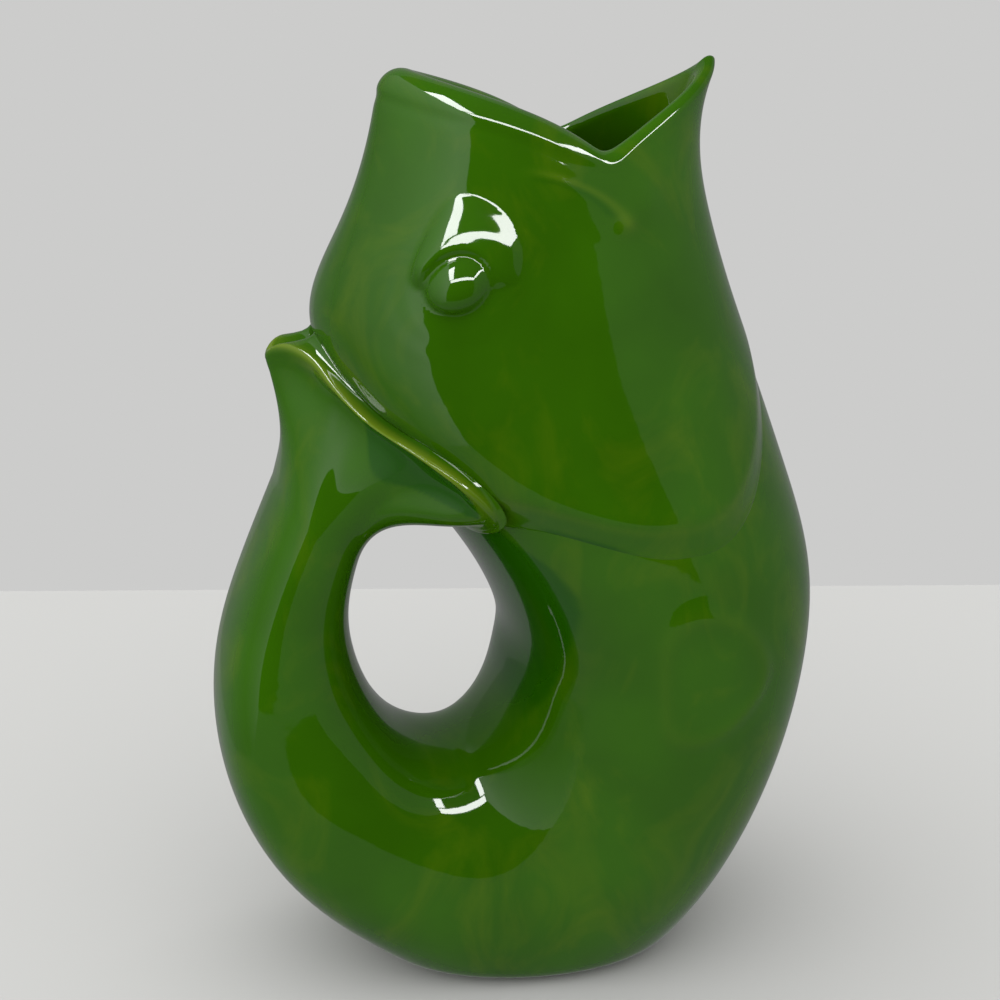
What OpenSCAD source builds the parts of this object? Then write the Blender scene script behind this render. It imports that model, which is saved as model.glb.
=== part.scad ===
// Gurgle jug: a cast and glazed stoneware jug in the form of a fish that stands on its curled body.
// The fish looks up with its mouth open. The mouth is the rim, the throat is the spout, and the
// hollow tail comes round behind as the handle and ends in a fin that holds the nape.
// +Z is up, +X is towards the throat and the spout, and the jug is alike on both sides of y = 0.
// All lengths are in millimetres and all angles in degrees.

/* [Jug] */
// Height from the table to the tip of the spout
height = 279; // [220:1:330]
// Length from the belly to the back of the tail
length = 186; // [160:1:215]
// Width across the belly
width = 122; // [95:1:145]
// Thickness of the clay wall
wall = 5.5; // [4:0.5:7]
// Thickness of the clay floor inside
base_thickness = 7; // [5:0.5:10]

/* [Mouth] */
// How far the lip of the upper jaw lies below the tip of the spout
nose_drop = 1; // [0:0.5:6]
// How far the corner of the mouth lies below the tip of the spout
corner_drop = 22.5; // [15:0.5:30]
// Height of the soft lip, measured down from the rim
lip_height = 9.5; // [7:0.5:12]
// Thickness of the soft lip round the upper jaw, where it bulges into the mouth
lip_thickness = 12; // [9:0.5:14]
// How far the soft lip swells outwards from the head
lip_swell = 0.6; // [0.2:0.2:1.6]

/* [Head] */
// How far the edge of the gill cover stands out over the belly
gill_overhang = 4; // [1.5:0.5:6]
// Height over which the gill cover swells towards its edge
gill_flare = 34; // [20:1:50]
// How far the gill edge climbs to the throat
gill_rise = 46; // [30:1:56]
// Diameter of the domed eyeball
eye_diameter = 18; // [12:0.5:24]
// Height of the eyeball over the head
eye_height = 3.4; // [2:0.2:5]
// Diameter of the ripple round the eye
eye_ring_diameter = 42; // [34:1:50]
// Height of the ripple round the eye
eye_ring_height = 0.8; // [0.5:0.1:2]
// Height of the brow that swells over the eye
brow_height = 2.2; // [0:0.2:4]
// Length of the fold behind the corner of the mouth
jaw_length = 40; // [28:1:48]
// Breadth of that fold
jaw_breadth = 14; // [9:0.5:18]
// Height of that fold over the head
jaw_height = 1.7; // [0.8:0.1:3]

/* [Belly] */
// Length of the side fin, from its root to its tip
side_fin_length = 52; // [36:1:60]
// Height of the side fin over the belly
side_fin_height = 2; // [1:0.2:4]
// Height of the bare ring that the jug stands on
foot_height = 2; // [1:0.5:4]
// Length of the ring along the fish
foot_length = 70; // [56:1:74]
// Width of the ring
foot_width = 58; // [46:1:64]
// Breadth of the ring's clay
foot_breadth = 6; // [4:0.5:9]
// Radius of the soft edge where the belly turns under to the foot
foot_fillet = 6; // [4:1:10]

/* [Tail] */
// Thickness of the fin's lobes where they lie on the head
lobe_thickness = 5; // [3:0.5:9]
// How far the middle of the fin stands out from the nape at its free edge
fin_stand = 14; // [8:0.5:18]
// Thickness of the solid clay at the end of the hollow tail
tail_end_thickness = 8; // [5:0.5:14]

/* [Hidden] */

// Clearance between a relief and the skin that carries it
seat_gap = 0.2;
// Least ledge that the head keeps over the belly all the way round
least_ledge = 0.4;
// Thickness at the very edge of a relief
feather = 0.35;
// Sides of every ring of the body, and rings of its longer runs
sides = 48;
head_rings = 15;
belly_rings = 11;
belly_inner_rings = 6;
underbelly_rings = 15;
underbelly_inner_rings = 9;
head_inner_rings = 8;
tail_rings = 12;

// Stations along the fish, from above the mouth down the body and round to the end of the tail.
// Each row: the line of the back x and z, the line of the throat and belly x and z, then the
// half width. Places are shares of the length and the height, widths of half the width.
station_shares = [
    [-0.167, 1.113, 0.484, 1.113, 0.429],
    [-0.195, 1.022, 0.345, 1.022, 0.443],
    [-0.215, 0.931, 0.296, 0.931, 0.53],
    [-0.262, 0.840, 0.318, 0.840, 0.69],
    [-0.346, 0.749, 0.354, 0.749, 0.81],
    [-0.272, 0.658, 0.407, 0.658, 0.88],
    [-0.172, 0.567, 0.456, 0.567, 0.94],
    [-0.068, 0.476, 0.503, 0.476, 0.99],
    [-0.007, 0.385, 0.509, 0.385, 1.012],
    [-0.020, 0.346, 0.457, 0.207, 0.977],
    [-0.039, 0.292, 0.297, -0.004, 0.88],
    [-0.101, 0.253, 0.018, -0.108, 0.725],
    [-0.187, 0.265, -0.262, 0.014, 0.67],
    [-0.237, 0.306, -0.432, 0.117, 0.62],
    [-0.260, 0.339, -0.510, 0.247, 0.529],
    [-0.277, 0.376, -0.508, 0.364, 0.48],
    [-0.285, 0.421, -0.463, 0.455, 0.445],
    [-0.274, 0.469, -0.398, 0.551, 0.44],
    [-0.243, 0.530, -0.345, 0.633, 0.46]];
// How much narrower each section gets towards the back, which rounds the nose
nose_shares = [0.48, 0.46, 0.36, 0.16, 0.04, 0, 0, 0, 0, 0, 0, 0, 0, 0, 0, 0, 0, 0, 0];
// How much narrower each section is towards the throat than towards the back
egg_shares = [-0.34, -0.30, -0.20, -0.10, -0.04, 0, 0, 0, 0, 0, 0, 0, 0.03, 0.06, 0.08, 0.08,
              0.08, 0.08, 0.05];
// Exponent of each section's outline: 2 is an ellipse, and more is squarer
fullness = [2.1, 2.1, 2.15, 2.25, 2.25, 2.2, 2.2, 2.2, 2.2, 2.2, 2.2, 2.3, 2.4, 2.5, 2.6, 2.6, 2.6,
            2.6, 2.5];
// Height of the first station and the step between stations on the upright part of the body
first_station_share = 1.113;
station_step_share = 0.091;

// Where the belly turns under, where it ends and the tail begins, and where the tail ends, as
// shares of the stations
underbelly_share = 0.5;
tail_start_share = 0.7222;
tail_end_share = 0.9556;
underbelly_start = underbelly_share * (len(station_shares) - 1);
tail_start = tail_start_share * (len(station_shares) - 1);
tail_end = tail_end_share * (len(station_shares) - 1);

// Cubic spline through rows at whole steps; it runs straight on past both ends
function pick(rows, i) = i < 0 ? 2 * rows[0] - rows[1]
    : i > len(rows) - 1 ? 2 * rows[len(rows) - 1] - rows[len(rows) - 2]
    : rows[i];
function spline(rows, t) = let (i = floor(t), f = t - i)
    (pow(1 - f, 3) * pick(rows, i - 1)
    + (3 * pow(f, 3) - 6 * pow(f, 2) + 4) * pick(rows, i)
    + (-3 * pow(f, 3) + 3 * pow(f, 2) + 3 * f + 1) * pick(rows, i + 1)
    + pow(f, 3) * pick(rows, i + 2)) / 6;
function ease(t) = let (c = min(1, max(0, t))) c * c * (3 - 2 * c);
function power(value, n) = sign(value) * pow(abs(value), n);
// The higher of two heights, with the corner between them rounded off over the length k
function soft_max(a, b, k) = max(a, b) + pow(max(k - abs(a - b), 0), 2) / (4 * k);

// A point of the fish: station u, angle a round the section (0 at the throat, 90 on the left side,
// 180 at the back) and depth d under the outer skin
function skin(u, a, d) = let (
    row = spline(station_shares, u),
    back = [row[0] * length, row[1] * height],
    belly = [row[2] * length, row[3] * height],
    reach = norm(belly - back) / 2,
    along = (belly - back) / (2 * reach),
    n = 2 / spline(fullness, u),
    egg = spline(egg_shares, u),
    nose = spline(nose_shares, u) * pow(min(0, cos(a)), 2),
    p = (back + belly) / 2 + along * (reach - d) * power(cos(a), n),
    half = row[4] * width / 2 - d,
    y = half * power(sin(a), n) * (1 + egg * cos(a)) * (1 - nose),
    rest = foot_height + max(0, d) * base_thickness / wall)
    [p[0], y, soft_max(p[1], rest, foot_fillet)];
function station_at(z) = (first_station_share * height - z) / (station_step_share * height);
function fold_angle(a) = abs(a > 180 ? a - 360 : a);

// Height of the rim at an angle: low at the corners of the mouth, high at the nose and the spout
corner_angle = 74;
corner_softness = 0.05;
jaw_curve_power = 0.57;
spout_curve_power = 0.66;
function rim_part(a) = let (
    t = a > corner_angle ? (a - corner_angle) / (180 - corner_angle)
        : (corner_angle - a) / corner_angle)
    sqrt(t * t + pow(corner_softness, 2)) - corner_softness;
function rim_height(angle) = let (a = fold_angle(angle), t = rim_part(a))
    a > corner_angle
    ? height - corner_drop + (corner_drop - nose_drop) * pow(max(0, sin(90 * t)), jaw_curve_power)
    : height - corner_drop + corner_drop * pow(t / (1 - corner_softness), spout_curve_power);

// Height of the gill edge at an angle: lowest on the sides, climbing to the throat
gill_low_share = 0.543;
gill_back_share = 0.036;
gill_front_angle = 82;
function gill_height(angle) = let (a = fold_angle(angle))
    height * (gill_low_share + gill_back_share * ease((a - 88) / 37))
    + gill_rise * ease((gill_front_angle - a) / gill_front_angle);
// How far the gill cover stands out at an angle, all the way down to its edge
function ledge(angle) = let (a = fold_angle(angle))
    least_ledge + (gill_overhang - least_ledge)
    * (0.35 + 0.65 * ease((a - 20) / 50)) * ease((158 - a) / 24);
function flare(angle, z) = let (s = (z - gill_height(angle)) / gill_flare)
    s < 0 ? ledge(angle) : ledge(angle) * pow(max(0, 1 - s), 2);

// The brow is a soft swelling of the head above each eye
brow_angle = 115;
brow_share = 0.856;
brow_spread_angle = 15;
brow_spread_share = 0.054;
function brow(angle, z) = let (
    a = fold_angle(angle),
    r = norm([(a - brow_angle) / brow_spread_angle, (z / height - brow_share) / brow_spread_share]))
    brow_height * exp(-r * r);

// Outer skin of the head, with the gill cover's flare and the brow
function head_skin(z, a) = skin(station_at(z), a, -flare(a, z) - brow(a, z));

angles = [for (i = [0:sides - 1]) 360 * i / sides];

// Faces between rings of n points; closed makes the last ring meet the first
function wall_faces(m, n, closed) = [for (j = [0:closed ? m - 1 : m - 2], i = [0:n - 1])
    let (a = j * n + i, b = j * n + (i + 1) % n,
         c = ((j + 1) % m) * n + (i + 1) % n, d = ((j + 1) % m) * n + i)
    each [[a, b, c], [a, c, d]]];
function flat(rings) = [for (r = rings, p = r) p];

// A solid whose rings go round in a loop, such as a pot wall
module loop_solid(rings) {
    polyhedron(flat(rings), wall_faces(len(rings), len(rings[0]), true), convexity = 8);
}

// A solid whose rings run from one closing point to another
module chain_solid(first, rings, last) {
    m = len(rings);
    n = len(rings[0]);
    polyhedron(
        concat(flat(rings), [first, last]),
        concat(
            wall_faces(m, n, false),
            [for (i = [0:n - 1]) [m * n, (i + 1) % n, i]],
            [for (i = [0:n - 1]) [(m - 1) * n + i, (m - 1) * n + (i + 1) % n, m * n + 1]]),
        convexity = 8);
}

function mix(a, b, t) = a + (b - a) * t;
function mean(points) = [for (p = points) 1] * points / len(points);

// How full the lip is at an angle: a thick soft roll round the upper jaw, a plain edge at the spout
function lip_fullness(angle) = ease((fold_angle(angle) - corner_angle + 12) / 30);
function crest_depth(a) = mix(wall * 0.5, lip_thickness * 0.7, lip_fullness(a));
function inner_depth(a) = mix(wall, lip_thickness, lip_fullness(a));
function lip_point(a, down, d) = skin(station_at(rim_height(a) - down), a, d);
// The quarter round outside of the lip at the angle g of its arc, and the one inside
function lip_outside(a, g) = lip_point(a, lip_height * (1 - sin(g)),
    crest_depth(a) * (1 - cos(g)) - lip_swell * lip_fullness(a) * pow(sin(2 * g), 2)
    - (g == 0 ? brow(a, rim_height(a) - lip_height) : 0));
function lip_inside(a, g) = lip_point(a, lip_height * 0.45 * (1 - cos(g)),
    mix(crest_depth(a), inner_depth(a), sin(g)));

// The soft lip: rings listed from the crest down the outside, then up the inside
module lip() {
    color("#3f7d1e")
    loop_solid([
        [for (a = angles) lip_outside(a, 90)],
        [for (a = angles) lip_outside(a, 66)],
        [for (a = angles) lip_outside(a, 46)],
        [for (a = angles) lip_outside(a, 28)],
        [for (a = angles) lip_outside(a, 13)],
        [for (a = angles) lip_outside(a, 0)],
        [for (a = angles) lip_point(a, lip_height, wall)],
        [for (a = angles) lip_point(a, lip_height * 0.8, mix(wall, inner_depth(a), 0.55))],
        [for (a = angles) lip_inside(a, 90)],
        [for (a = angles) lip_inside(a, 56)],
        [for (a = angles) lip_inside(a, 24)]]);
}

// The head: from under the lip down to the gill edge, and back up inside
module head() {
    color("#2f6b17")
    loop_solid(concat(
        [for (j = [0:head_rings])
            [for (a = angles) let (
                top = rim_height(a) - lip_height,
                low = gill_height(a) + gill_overhang * 0.18,
                z = mix(top, low, j / head_rings))
                j == 0 ? skin(station_at(top), a, -brow(a, top)) : head_skin(z, a)]],
        [[for (a = angles) skin(station_at(gill_height(a)), a, -ledge(a) * 0.6)],
         [for (a = angles) skin(station_at(gill_height(a)), a, 0)],
         [for (a = angles) skin(station_at(gill_height(a)), a, wall)]],
        [for (j = [1:head_inner_rings])
            [for (a = angles) let (
                top = rim_height(a) - lip_height,
                z = mix(gill_height(a), top, j / head_inner_rings))
                skin(station_at(z), a, wall)]]));
}

// A stretch of the hollow body between two stations, which may differ from angle to angle
module tube(from, to, outer_count, inner_count) {
    n = len(angles) - 1;
    loop_solid(concat(
        [for (j = [0:outer_count])
            [for (i = [0:n]) skin(mix(from[i], to[i], j / outer_count), angles[i], 0)]],
        [for (j = [0:inner_count])
            [for (i = [0:n]) skin(mix(to[i], from[i], j / inner_count), angles[i], wall)]]));
}

// The belly: from the gill edge down to where the body turns under
module belly() {
    color("#2a6414")
    tube([for (a = angles) station_at(gill_height(a))], [for (a = angles) underbelly_start],
        belly_rings, belly_inner_rings);
}

// The underbelly: the flat floor that the jug stands on, and the turn up to the tail
module underbelly() {
    color("#27600f")
    tube([for (a = angles) underbelly_start], [for (a = angles) tail_start],
        underbelly_rings, underbelly_inner_rings);
}

// The hollow tail: its bore opens into the belly only at the root, and ends short of the fin
bore_end = tail_end - tail_end_thickness / (height * station_step_share);
module tail_handle() {
    color("#37751a")
    chain_solid(
        mean([for (a = angles) skin(bore_end + 0.12, a, wall)]),
        concat(
            [[for (a = angles) skin(bore_end + 0.1, a, wall * 1.6)]],
            [for (j = [0:tail_rings - 3])
                [for (a = angles) skin(mix(bore_end, tail_start, j / (tail_rings - 3)), a, wall)]],
            [for (j = [0:tail_rings])
                [for (a = angles) skin(mix(tail_start, tail_end, j / tail_rings), a, 0)]]),
        mean([for (a = angles) skin(tail_end, a, 0)]));
}

// The tail fin: a loft from the end of the tail to the nape. It spreads into two lobes that lie
// round the back of the head, and its free edge stands off the head like the rim of a leaf.
// Outline on the nape every 15 degrees, from the top of the fin round a lobe to its underside:
// the angle from the middle plane, then the height as a share of the jug's height
fin_outline_shares = [
    [0, 0.708], [3, 0.722], [8, 0.720], [16, 0.703], [22, 0.679], [28, 0.659], [42, 0.649],
    [52.5, 0.611], [52, 0.569], [40, 0.552], [28, 0.547], [14, 0.544], [0, 0.543]];
fin_rings = 8;
fin_middle_share = 0.628;
// Part of the way that the loft leaves the tail and reaches the edge in a straight line
fin_root_share = 0.36;
fin_edge_share = 0.30;
function fin_outline(q) = let (
    n = len(fin_outline_shares) - 1,
    t = n * fold_angle(q) / 180,
    i = floor(t),
    f = t - i,
    at = [for (k = [i - 1:i + 2])
        k < 0 ? [-fin_outline_shares[-k][0], fin_outline_shares[-k][1]]
        : k > n ? [-fin_outline_shares[2 * n - k][0], fin_outline_shares[2 * n - k][1]]
        : fin_outline_shares[k]],
    p = (pow(1 - f, 3) * at[0] + (3 * pow(f, 3) - 6 * pow(f, 2) + 4) * at[1]
        + (-3 * pow(f, 3) + 3 * pow(f, 2) + 3 * f + 1) * at[2] + pow(f, 3) * at[3]) / 6)
    [180 - (q > 180 ? -1 : 1) * p[0], p[1] * height];
// How far the free edge stands off the head: most at the top, nothing on the underside
function fin_edge(q) = let (a = fold_angle(q))
    mix(mix(fin_stand, lobe_thickness, ease(a / 45)), seat_gap, ease((a - 100) / 35));
function nape(outline, k, lift) = let (
    a = mix(180, outline[0], k),
    z = mix(fin_middle_share * height, outline[1], k))
    skin(station_at(z), a, -flare(a, z) - brow(a, z) - seat_gap - lift);
function unit(v) = v / norm(v);
function fin_point(q, t) = let (
    o = fin_outline(q),
    from = skin(tail_end, q, 0),
    start = unit(from - skin(tail_end - 0.1, q, 0)),
    edge = nape(o, 0.96, fin_edge(q)),
    over = unit(edge - nape(o, 0.8, fin_edge(q))),
    into = unit(nape(o, 1, 0) - nape(o, 1, fin_stand)),
    finish = unit(mix(over, into, ease((fold_angle(q) - 100) / 50))),
    way = norm(edge - from),
    c1 = from + start * way * fin_root_share,
    c2 = edge - finish * way * fin_edge_share)
    pow(1 - t, 3) * from + 3 * pow(1 - t, 2) * t * c1 + 3 * (1 - t) * t * t * c2
    + pow(t, 3) * edge;
module tail_fin() {
    color("#5d962c")
    chain_solid(
        mean([for (a = angles) skin(tail_end, a, 0)]),
        concat(
            [for (j = [0:fin_rings]) [for (q = angles) fin_point(q, j / fin_rings)]],
            [[for (q = angles) nape(fin_outline(q), 1.01, fin_edge(q) * 0.88)],
             [for (q = angles) nape(fin_outline(q), 1.03, fin_edge(q) * 0.6)],
             [for (q = angles) nape(fin_outline(q), 1.02, fin_edge(q) * 0.3)],
             [for (q = angles) nape(fin_outline(q), 1, 0)],
             [for (q = angles) nape(fin_outline(q), 0.7, 0)],
             [for (q = angles) nape(fin_outline(q), 0.35, 0)]]),
        nape([180, fin_middle_share * height], 0, 0));
}

// The ring of bare clay that the jug stands on
foot_centre_share = 0.02;
module foot_outline(inset) {
    n = 2 / 2.3;
    polygon([for (i = [0:sides - 1]) let (a = 360 * i / sides)
        [foot_centre_share * length + (foot_length / 2 - inset) * power(cos(a), n),
         (foot_width / 2 - inset) * power(sin(a), n)]]);
}
module foot_ring() {
    color("#cbbfa8")
    linear_extrude(foot_height)
    difference() {
        foot_outline(0);
        foot_outline(foot_breadth);
    }
}

// A relief on the skin: h(r, q) is its height at the share r of its outline in the direction q.
// The directions of a relief: 0 is towards the back, 90 is up.
function head_spot(place, step) =
    head_skin(place[1] + step[1], place[0] + step[0] / head_scale(place));
function head_scale(place) =
    norm(head_skin(place[1], place[0] + 1) - head_skin(place[1], place[0]));
function belly_spot(place, step) =
    skin(station_at(place[1] + step[1]), place[0] + step[0] / belly_scale(place), 0);
function belly_scale(place) =
    norm(skin(station_at(place[1]), place[0] + 1, 0) - skin(station_at(place[1]), place[0], 0));
function relief_spot(on_head, place, step) =
    on_head ? head_spot(place, step) : belly_spot(place, step);
function raised(on_head, place, step, lift) = let (
    p = relief_spot(on_head, place, step),
    e = seat_gap,
    across = relief_spot(on_head, place, step + [e, 0]) - relief_spot(on_head, place, step - [e, 0]),
    up = relief_spot(on_head, place, step + [0, e]) - relief_spot(on_head, place, step - [0, e]),
    out = cross(across, up))
    p + out / norm(out) * (seat_gap + lift);

// The eye: a dome in a groove, with a low ripple round it
eye_place_angle = 116;
eye_level_share = 0.801;
eye_place = [eye_place_angle, height * eye_level_share];
relief_sides = 24;
eye_rings = [0.22, 0.5, 0.75, 0.92, 1];
ripple_rings = [0, 0.12, 0.35, 0.6, 0.82, 1];
function eye_rise(r) = feather + eye_height * sqrt(max(0, 1 - r * r));
function ripple_rise(r) = feather + eye_ring_height * pow(sin(180 * r), 2) * (r < 1 ? 1 : 0);
function circle_ring(place, radius, lift) = [for (i = [0:relief_sides - 1])
    let (q = 360 * i / relief_sides)
    raised(true, place, radius * [cos(q), sin(q)], lift)];
module eye() {
    color("#6fa336")
    chain_solid(
        raised(true, eye_place, [0, 0], eye_rise(0)),
        concat(
            [for (r = eye_rings) circle_ring(eye_place, r * eye_diameter / 2, eye_rise(r))],
            [for (r = ripple_rings) circle_ring(eye_place,
                mix(eye_diameter / 2 + feather, eye_ring_diameter / 2, r), ripple_rise(r))],
            [for (r = [1, 0.7, 0.35])
                circle_ring(eye_place, r * eye_ring_diameter / 2, 0)]),
        raised(true, eye_place, [0, 0], 0));
}
module left_eye() {
    eye();
}
module right_eye() {
    mirror([0, 1, 0])
    eye();
}

// The fold behind the corner of the mouth: a leaf that falls to a small boss at its front end.
// Its middle lies by jaw_drop under the lip.
jaw_drop = 8;
jaw_place_angle = 88;
jaw_place = [jaw_place_angle, rim_height(jaw_place_angle) - lip_height - jaw_drop];
jaw_tilt_angle = 26;
jaw_rings = [0.3, 0.55, 0.78, 0.92, 1];
boss_share = 0.62;
boss_breadth_share = 0.42;
function jaw_step(r, q) = let (
    s = [jaw_length / 2 * cos(q), jaw_breadth / 2 * sin(q)] * r)
    [s[0] * cos(jaw_tilt_angle) - s[1] * sin(jaw_tilt_angle), s[0] * sin(jaw_tilt_angle) + s[1] * cos(jaw_tilt_angle)];
function jaw_rise(r, q) = let (
    x = r * cos(q), y = r * sin(q),
    boss = norm([(x + boss_share) * jaw_length, y * jaw_breadth]) / (boss_breadth_share * jaw_breadth * 2))
    feather + jaw_height * (1 - pow(r, 3)) * (0.75 + 0.25 * y)
    + jaw_height * 0.6 * exp(-boss * boss * 4) * (1 - r);
function jaw_ring(r, on) = [for (i = [0:relief_sides - 1]) let (q = 360 * i / relief_sides)
    raised(true, jaw_place, jaw_step(r, q), on ? jaw_rise(r, q) : 0)];
module jaw_fold() {
    color("#77992a")
    chain_solid(
        raised(true, jaw_place, [0, 0], jaw_rise(0, 0)),
        concat([for (r = jaw_rings) jaw_ring(r, true)], [for (r = [1, 0.6]) jaw_ring(r, false)]),
        raised(true, jaw_place, [0, 0], 0));
}
module left_jaw_fold() {
    jaw_fold();
}
module right_jaw_fold() {
    mirror([0, 1, 0])
    jaw_fold();
}

// The side fin: shares of its length from its middle to its outline, every 30 degrees
side_fin_place_angle = 88;
side_fin_level_share = 0.38;
side_fin_place = [side_fin_place_angle, height * side_fin_level_share];
side_fin_shares = [0.31, 0.34, 0.46, 0.52, 0.42, 0.36, 0.37, 0.34, 0.35, 0.43, 0.45, 0.33];
side_fin_rings = [0.4, 0.7, 0.88, 0.97, 1];
function side_fin_reach(q) = let (
    t = q / 30, i = floor(t), f = t - i, n = len(side_fin_shares),
    a = side_fin_shares[(i + n - 1) % n], b = side_fin_shares[i % n],
    c = side_fin_shares[(i + 1) % n], d = side_fin_shares[(i + 2) % n])
    side_fin_length * (pow(1 - f, 3) * a + (3 * pow(f, 3) - 6 * pow(f, 2) + 4) * b
    + (-3 * pow(f, 3) + 3 * pow(f, 2) + 3 * f + 1) * c + pow(f, 3) * d) / 6;
function side_fin_ring(r, on) = [for (i = [0:relief_sides - 1])
    let (q = 360 * i / relief_sides, reach = r * side_fin_reach(q))
    raised(false, side_fin_place, reach * [cos(q), sin(q)],
        on ? feather + side_fin_height * sqrt(max(0, 1 - pow(r, 4))) : 0)];
module side_fin() {
    color("#4a8a22")
    chain_solid(
        raised(false, side_fin_place, [0, 0], feather + side_fin_height),
        concat([for (r = side_fin_rings) side_fin_ring(r, true)],
            [for (r = [1, 0.66, 0.33]) side_fin_ring(r, false)]),
        raised(false, side_fin_place, [0, 0], 0));
}
module left_side_fin() {
    side_fin();
}
module right_side_fin() {
    mirror([0, 1, 0])
    side_fin();
}

lip();
head();
belly();
underbelly();
tail_handle();
tail_fin();
foot_ring();
left_eye();
right_eye();
left_jaw_fold();
right_jaw_fold();
left_side_fin();
right_side_fin();
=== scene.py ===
import bpy
import numpy as np
from mathutils import Matrix

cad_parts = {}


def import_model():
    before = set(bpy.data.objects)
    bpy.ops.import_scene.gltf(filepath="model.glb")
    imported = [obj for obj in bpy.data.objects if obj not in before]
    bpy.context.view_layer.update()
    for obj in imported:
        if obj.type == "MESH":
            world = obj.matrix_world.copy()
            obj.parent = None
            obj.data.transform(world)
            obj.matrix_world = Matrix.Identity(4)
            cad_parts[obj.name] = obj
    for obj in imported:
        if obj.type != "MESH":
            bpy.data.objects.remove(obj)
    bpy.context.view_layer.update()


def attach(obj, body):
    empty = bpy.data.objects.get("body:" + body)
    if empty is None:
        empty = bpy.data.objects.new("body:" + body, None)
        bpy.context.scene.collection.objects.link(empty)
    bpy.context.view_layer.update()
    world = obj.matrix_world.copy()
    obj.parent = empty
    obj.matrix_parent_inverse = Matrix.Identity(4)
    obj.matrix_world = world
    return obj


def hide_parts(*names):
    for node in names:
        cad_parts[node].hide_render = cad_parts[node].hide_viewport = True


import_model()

# A glazed gurgle jug in the form of a fish. All shape values are in millimetres and degrees, and
# become metres where a mesh is made. The jug is alike on both sides of y = 0.
mm = 0.001


def linked(name, data):
    thing = bpy.data.objects.new(name, data)
    bpy.context.scene.collection.objects.link(thing)
    return thing


# Camera
cameraPlace = dict(azimuth=-13.58, distance=523.2, height=324.15, target=(0.364, 0.0, 146.9),
                   roll=-0.37, focalPixels=1793.27, offsetX=12.64, offsetY=0.83, picture=1000, sensor=36)


def makeCamera(c):
    turn = np.radians(c["azimuth"])
    target = np.array(c["target"])
    eye = np.array([target[0] + c["distance"] * np.sin(turn), -c["distance"] * np.cos(turn), c["height"]])
    forward = (target - eye) / np.linalg.norm(target - eye)
    right = np.cross(forward, [0, 0, 1])
    right /= np.linalg.norm(right)
    up = np.cross(right, forward)
    roll = np.radians(c["roll"])
    right, up = right * np.cos(roll) + up * np.sin(roll), up * np.cos(roll) - right * np.sin(roll)
    data = bpy.data.cameras.new("photoCamera")
    data.sensor_width = c["sensor"]
    data.lens = c["focalPixels"] * c["sensor"] / c["picture"]
    data.shift_x = -c["offsetX"] / c["picture"]
    data.shift_y = c["offsetY"] / c["picture"]
    data.clip_start, data.clip_end = 0.02, 30
    camera = linked("photoCamera", data)
    camera.matrix_world = Matrix([*zip(right, up, -forward, eye * mm), (0, 0, 0, 1)])
    bpy.context.scene.camera = camera


makeCamera(cameraPlace)
print("camera placed")

# The fish: stations from above the mouth, down the body and round to the end of the tail. Each
# row has the back x and z, the throat or belly x and z (shares of length and height) and the half
# width (a share of half the width). nose narrows a section towards its back, egg widens it to one
# end, and fullness is 2 for an ellipse and more for a boxier form.
fish = dict(
    length=185.6, height=279.0, width=122.0, wall=5.5, base=7.0, footHeight=2.0, footFillet=6.0,
    firstStation=1.113, stationStep=0.091, tailEnd=0.9556 * 18, boreShort=8.0,
    bellyTo=(10.0, 1.0), tuck=0.5, tuckTo=(0.035, 0.03),
    stations=[[-0.167, 1.113, 0.484, 1.113, 0.429], [-0.195, 1.022, 0.345, 1.022, 0.443],
              [-0.215, 0.931, 0.296, 0.931, 0.53], [-0.262, 0.840, 0.318, 0.840, 0.69],
              [-0.346, 0.749, 0.354, 0.749, 0.82], [-0.272, 0.658, 0.407, 0.658, 0.91],
              [-0.172, 0.567, 0.456, 0.567, 0.955], [-0.068, 0.476, 0.503, 0.476, 0.965],
              [-0.007, 0.385, 0.509, 0.385, 0.98], [-0.020, 0.346, 0.457, 0.207, 0.96],
              [-0.039, 0.292, 0.297, -0.004, 0.88], [-0.101, 0.253, 0.018, -0.108, 0.725],
              [-0.187, 0.265, -0.262, 0.014, 0.67], [-0.237, 0.306, -0.432, 0.117, 0.62],
              [-0.260, 0.339, -0.510, 0.247, 0.529], [-0.277, 0.376, -0.508, 0.364, 0.48],
              [-0.285, 0.421, -0.463, 0.455, 0.445], [-0.274, 0.469, -0.398, 0.551, 0.44],
              [-0.243, 0.530, -0.345, 0.633, 0.46]],
    nose=[0.48, 0.46, 0.36, 0.16, 0.04] + [0] * 14,
    egg=[-0.34, -0.30, -0.20, -0.10, -0.08, -0.09, -0.11, -0.09, -0.04, 0,
         0, 0.02, 0.06, 0.12, 0.18, 0.20, 0.20, 0.16, 0.08],
    fullness=[2.1, 2.1, 2.15, 2.25, 2.25, 2.2, 2.2, 2.2, 2.2, 2.2,
              2.2, 2.3, 2.4, 2.5, 2.6, 2.6, 2.6, 2.6, 2.5])
height = fish["height"]


def ease(t):
    t = np.clip(t, 0, 1)
    return t * t * (3 - 2 * t)


def after(pair, value):
    # 0 up to the start of the pair, 1 from its start plus its length
    return ease((value - pair[0]) / pair[1])


def before(pair, value):
    # 1 down from the start of the pair less its length, 0 from its start
    return ease((pair[0] - value) / pair[1])


def bell(t):
    return np.exp(-t * t)


def softMax(a, b, k):
    # the higher of two heights, with the corner rounded over the length k
    return np.maximum(a, b) + np.maximum(k - np.abs(a - b), 0) ** 2 / (4 * k)


def blend(at, f):
    # the uniform cubic spline's four weights, at the share f of the step between at[1] and at[2]
    return ((1 - f) ** 3 * at[0] + (3 * f ** 3 - 6 * f ** 2 + 4) * at[1]
            + (-3 * f ** 3 + 3 * f ** 2 + 3 * f + 1) * at[2] + f ** 3 * at[3]) / 6


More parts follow.
